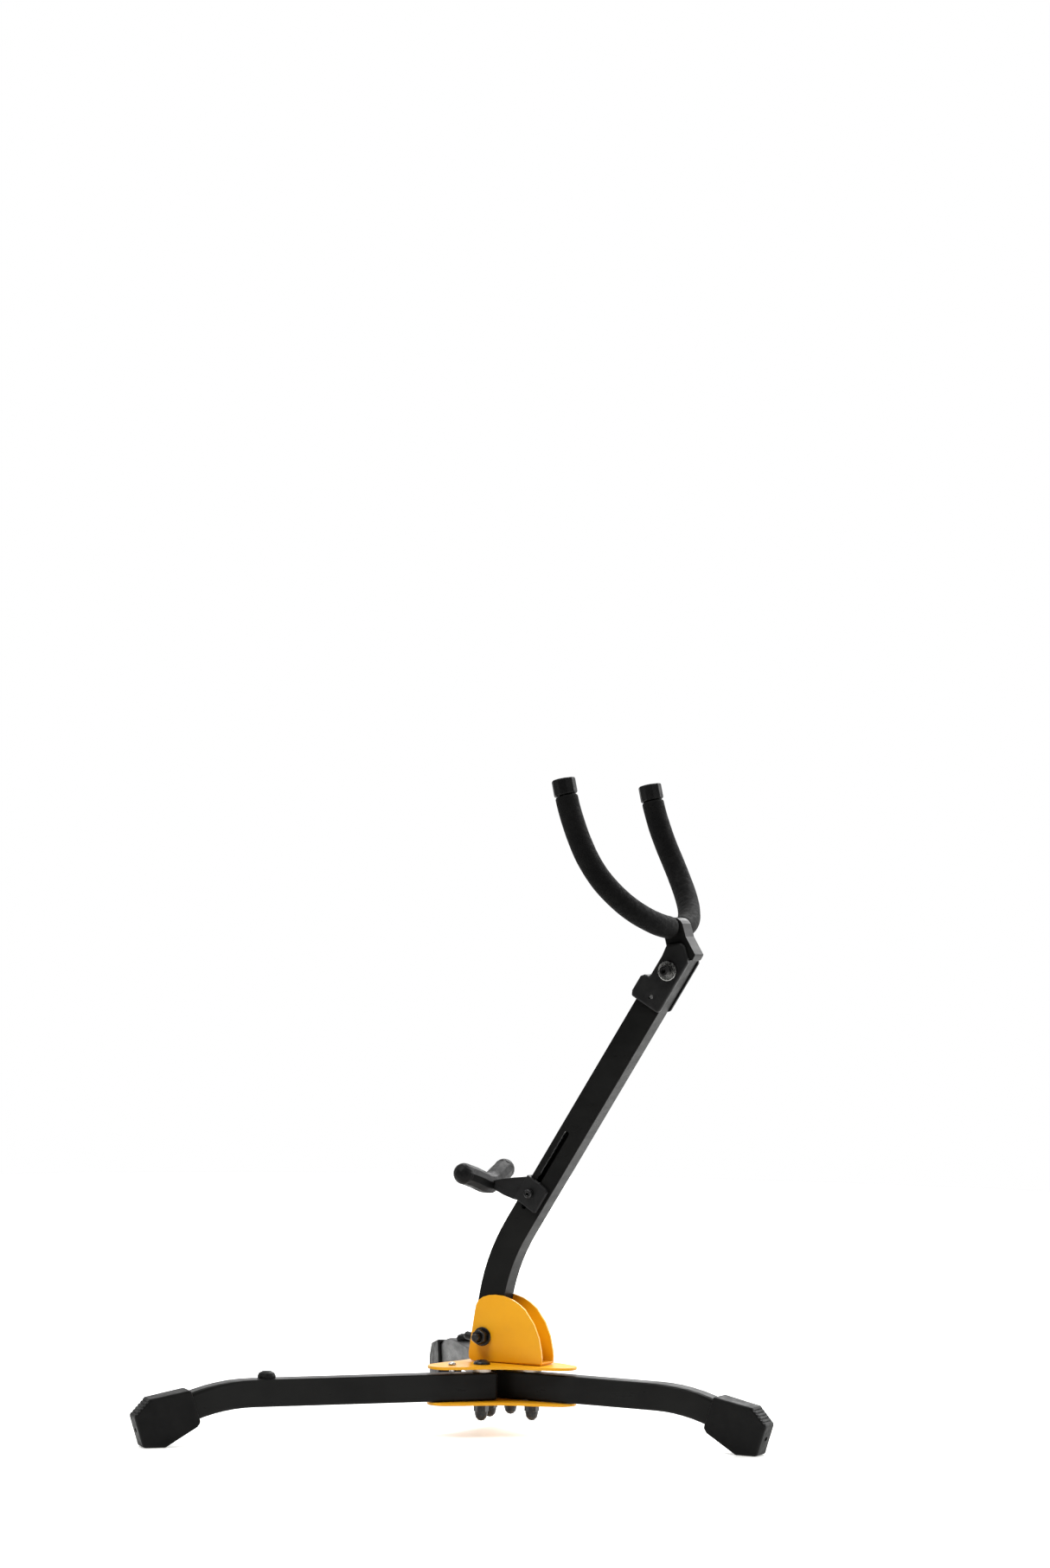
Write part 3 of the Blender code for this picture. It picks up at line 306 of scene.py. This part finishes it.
def yoke_half_path():
    """Half of the yoke's centre line, from its middle to the left tip."""
    angles = [YOKE_BEND_STEP * i for i in range(YOKE_BEND_STEPS + 1)]
    flat = [(YOKE_HALF_WIDTH * math.sin(a), YOKE_HALF_WIDTH * (1 - math.cos(a))) for a in angles]
    run = YOKE_REACH - YOKE_HALF_WIDTH
    for i in range(1, YOKE_ARM_STEPS + 1):
        flat.append((YOKE_HALF_WIDTH, YOKE_HALF_WIDTH + run * i / YOKE_ARM_STEPS))
    path = []
    for y, reach in flat:
        turned = YOKE_BASE_LEAN - reach / YOKE_ROLL_RADIUS
        x = YOKE_BASE[0] - YOKE_ROLL_RADIUS * (math.cos(turned) - math.cos(YOKE_BASE_LEAN))
        z = YOKE_BASE[1] + YOKE_ROLL_RADIUS * (math.sin(YOKE_BASE_LEAN) - math.sin(turned))
        path.append(Vector((x, -y, z)))
    return path


def at_length(path, wanted):
    """The point and direction on a path at a length from its start."""
    travelled = 0.0
    for a, b in zip(path, path[1:]):
        length = (b - a).length
        if travelled + length >= wanted:
            return a.lerp(b, (wanted - travelled) / length), (b - a).normalized()
        travelled += length
    return path[-1], (path[-1] - path[-2]).normalized()


def sleeve_profile(total):
    """(length along the bar, radius) from inside the bore at the start to inside it at the end. The bar is
    total long, and the sleeve's ends are round at the outside and slightly opened at the bore."""
    start, end = FOAM_START, total - FOAM_END_MARGIN
    straight = end - start - 2 * FOAM_CORNER
    steps = int(straight / FOAM_STEP)
    mouth = FOAM_BORE + 0.4 * MM
    corner = []
    for i in range(7):
        a = math.radians(15.0 * i)
        corner.append((FOAM_CORNER * (1 - math.sin(a)), FOAM_RADIUS - FOAM_CORNER * (1 - math.cos(a))))
    profile = [(start + FOAM_LIP, FOAM_BORE), (start + 0.6 * MM, FOAM_BORE), (start, mouth)]
    profile += [(start + inset, radius) for inset, radius in reversed(corner)]
    profile += [(start + FOAM_CORNER + straight * i / steps, FOAM_RADIUS) for i in range(1, steps)]
    profile += [(end - inset, radius) for inset, radius in corner]
    profile += [(end, mouth), (end - 0.6 * MM, FOAM_BORE), (end - FOAM_LIP, FOAM_BORE)]
    return profile


def sleeve_rings(mirror):
    """Each ring's length along the bar, radius, centre, direction to the yoke's inner side and direction
    across that."""
    half = yoke_half_path()
    total = sum((b - a).length for a, b in zip(half, half[1:]))
    rings = []
    for along, radius in sleeve_profile(total):
        centre, ahead = at_length(half, along)
        centre = Vector((centre.x, mirror * centre.y, centre.z))
        ahead = Vector((ahead.x, mirror * ahead.y, ahead.z))
        near_middle = max(0.0, 50.0 * MM - abs(centre.y))
        inward = Vector((0.0, -centre.y, 0.0)) + UP_THE_YOKE * near_middle
        inward = (inward - ahead * inward.dot(ahead)).normalized()
        rings.append((along, radius, centre, inward, ahead.cross(inward)))
    return rings


def uneven_radius(along, radius, angle, centre, out):
    """The foam's radius at an angle from its inner side, where the bend creases it."""
    squeezed = max(0.0, math.cos(angle)) ** 2 * (1.0 if along < CREASED_LENGTH else 0.25)
    phase = along / MM + 2.5 * noise.noise(centre * 55.0)
    crease = max(0.0, math.sin(phase * 1.05)) ** 4
    grown = radius - CREASE_DEPTH * squeezed * crease
    grown += SKIN_UNEVENNESS * noise.noise((centre + out * radius) * 75.0)
    return min(grown, FOAM_RADIUS + 0.1 * MM)


def foam_sleeve(name, mirror):
    """A foam tube on the bar: slightly uneven along its length, with soft creases on its inner side where
    the bend squeezes it."""
    rings = sleeve_rings(mirror)
    vertices, faces = [], []
    for along, radius, centre, inward, side in rings:
        outer = radius > FOAM_BORE + 1.0 * MM
        for i in range(FOAM_SIDES):
            angle = 2 * math.pi * i / FOAM_SIDES
            out = inward * math.cos(angle) + side * math.sin(angle)
            grown = uneven_radius(along, radius, angle, centre, out) if outer else radius
            vertices.append(centre + out * grown)
    for r in range(len(rings) - 1):
        for i in range(FOAM_SIDES):
            j = (i + 1) % FOAM_SIDES
            a, b = r * FOAM_SIDES, (r + 1) * FOAM_SIDES
            faces.append((a + i, a + j, b + j, b + i))
    mesh = bpy.data.meshes.new(name)
    mesh.from_pydata(vertices, [], faces)
    mesh.update()
    middle = len(rings) // 2
    face = mesh.polygons[middle * FOAM_SIDES]
    if face.normal.dot(face.center - rings[middle][2]) < 0:
        mesh.flip_normals()
    mesh.shade_smooth()
    mesh.materials.append(MATERIALS["foam"])
    obj = bpy.data.objects.new(name, mesh)
    bpy.context.scene.collection.objects.link(obj)
    return obj


def pad_yoke():
    for side, mirror in (("left", 1.0), ("right", -1.0)):
        sleeve = foam_sleeve(f"{side}_foam_sleeve", mirror)
        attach(sleeve, "yoke")
        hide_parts(f"{side}_yoke_foam")


# ---------------------------------------------------------------- studio


def pale_glow():
    """The floor's finish: a white sheet with a faint light of its own, which leaves almost no shadow."""
    material = bpy.data.materials.new("pale_floor")
    material.use_nodes = True
    surface = material.node_tree.nodes["Principled BSDF"]
    surface.inputs["Base Color"].default_value = (0.78, 0.78, 0.775, 1.0)
    surface.inputs["Roughness"].default_value = 0.35
    surface.inputs["Specular IOR Level"].default_value = 0.2
    surface.inputs["Emission Color"].default_value = (1.0, 1.0, 0.95, 1.0)
    surface.inputs["Emission Strength"].default_value = 0.35
    return material


def softbox(name, place, aim, width, height, power, colour=(1.0, 1.0, 1.0)):
    """A rectangular light that faces its aim."""
    data = bpy.data.lights.new(name, "AREA")
    data.shape = "RECTANGLE"
    data.size, data.size_y = width, height
    data.energy = power
    data.color = colour
    light = bpy.data.objects.new(name, data)
    light.location = place
    light.rotation_mode = "QUATERNION"
    light.rotation_quaternion = (Vector(aim) - Vector(place)).to_track_quat("-Z", "Y")
    bpy.context.scene.collection.objects.link(light)


def lay_floor():
    mesh = bpy.data.meshes.new("floor")
    turns = [2 * math.pi * i / FLOOR_SIDES for i in range(FLOOR_SIDES)]
    rim = [(FLOOR_REACH * math.cos(a), FLOOR_REACH * math.sin(a), 0.0) for a in turns]
    mesh.from_pydata(rim, [], [tuple(range(FLOOR_SIDES))])
    mesh.materials.append(pale_glow())
    floor = bpy.data.objects.new("floor", mesh)
    floor.location = FLOOR_CENTRE
    bpy.context.scene.collection.objects.link(floor)


def studio():
    lay_floor()
    sky()
    stand = (0.0, 0.0, 0.2)
    softbox("back_box", (0.3, 1.25, 1.25), (0.1, 0.5, 0.0), 2.4, 1.2, 50.0)
    softbox("key_box", (-0.35, -1.2, 2.1), stand, 1.1, 1.0, 47.0)
    softbox("right_box", (1.25, 1.5, 0.5), stand, 1.1, 0.9, 15.0)
    softbox("left_box", (-1.6, -0.5, 0.8), stand, 0.5, 1.2, 2.0, (1.0, 0.99, 0.97))


def sky():
    """White all round to look at. It lights the object brightly from behind and weakly from the front."""
    world = bpy.data.worlds.new("studio")
    world.use_nodes = True
    tree = world.node_tree
    tree.nodes.clear()
    output = tree.nodes.new("ShaderNodeOutputWorld")
    seen = tree.nodes.new("ShaderNodeBackground")
    seen.inputs["Color"].default_value = (1.0, 1.0, 1.0, 1.0)
    seen.inputs["Strength"].default_value = 1.0
    lit = tree.nodes.new("ShaderNodeBackground")
    place = tree.nodes.new("ShaderNodeTexCoord")
    parts = tree.nodes.new("ShaderNodeSeparateXYZ")
    tree.links.new(place.outputs["Generated"], parts.inputs["Vector"])
    ramp = tree.nodes.new("ShaderNodeMapRange")
    ramp.inputs["From Min"].default_value = -0.7
    ramp.inputs["From Max"].default_value = 0.8
    ramp.inputs["To Min"].default_value = 0.02
    ramp.inputs["To Max"].default_value = 1.7
    tree.links.new(parts.outputs["Y"], ramp.inputs["Value"])
    tree.links.new(ramp.outputs["Result"], lit.inputs["Strength"])
    path = tree.nodes.new("ShaderNodeLightPath")
    mix = tree.nodes.new("ShaderNodeMixShader")
    tree.links.new(path.outputs["Is Camera Ray"], mix.inputs["Fac"])
    tree.links.new(lit.outputs["Background"], mix.inputs[1])
    tree.links.new(seen.outputs["Background"], mix.inputs[2])
    tree.links.new(mix.outputs["Shader"], output.inputs["Surface"])
    bpy.context.scene.world = world
    bpy.context.scene.view_settings.view_transform = "Standard"


def camera():
    across, along = math.sin(CAMERA_AZIMUTH), math.cos(CAMERA_AZIMUTH)
    level = math.cos(CAMERA_TILT)
    ahead = Vector((-across * level, along * level, math.sin(CAMERA_TILT)))
    right = Vector((along, across, 0.0))
    up = right.cross(ahead)
    rolled_right = right * math.cos(CAMERA_ROLL) + up * math.sin(CAMERA_ROLL)
    rolled_up = up * math.cos(CAMERA_ROLL) - right * math.sin(CAMERA_ROLL)
    data = bpy.data.cameras.new("camera")
    data.sensor_fit = "AUTO"
    data.sensor_width = 36.0
    data.lens = CAMERA_LENS
    data.clip_start = 0.1
    data.clip_end = 100.0
    obj = bpy.data.objects.new("camera", data)
    axes = Matrix((rolled_right, rolled_up, -ahead)).transposed().to_4x4()
    obj.matrix_world = Matrix.Translation(Vector(CAMERA_PLACE)) @ axes
    bpy.context.scene.collection.objects.link(obj)
    bpy.context.scene.camera = obj


paint_frame()
pad_yoke()
studio()
camera()

bpy.context.view_layer.update()
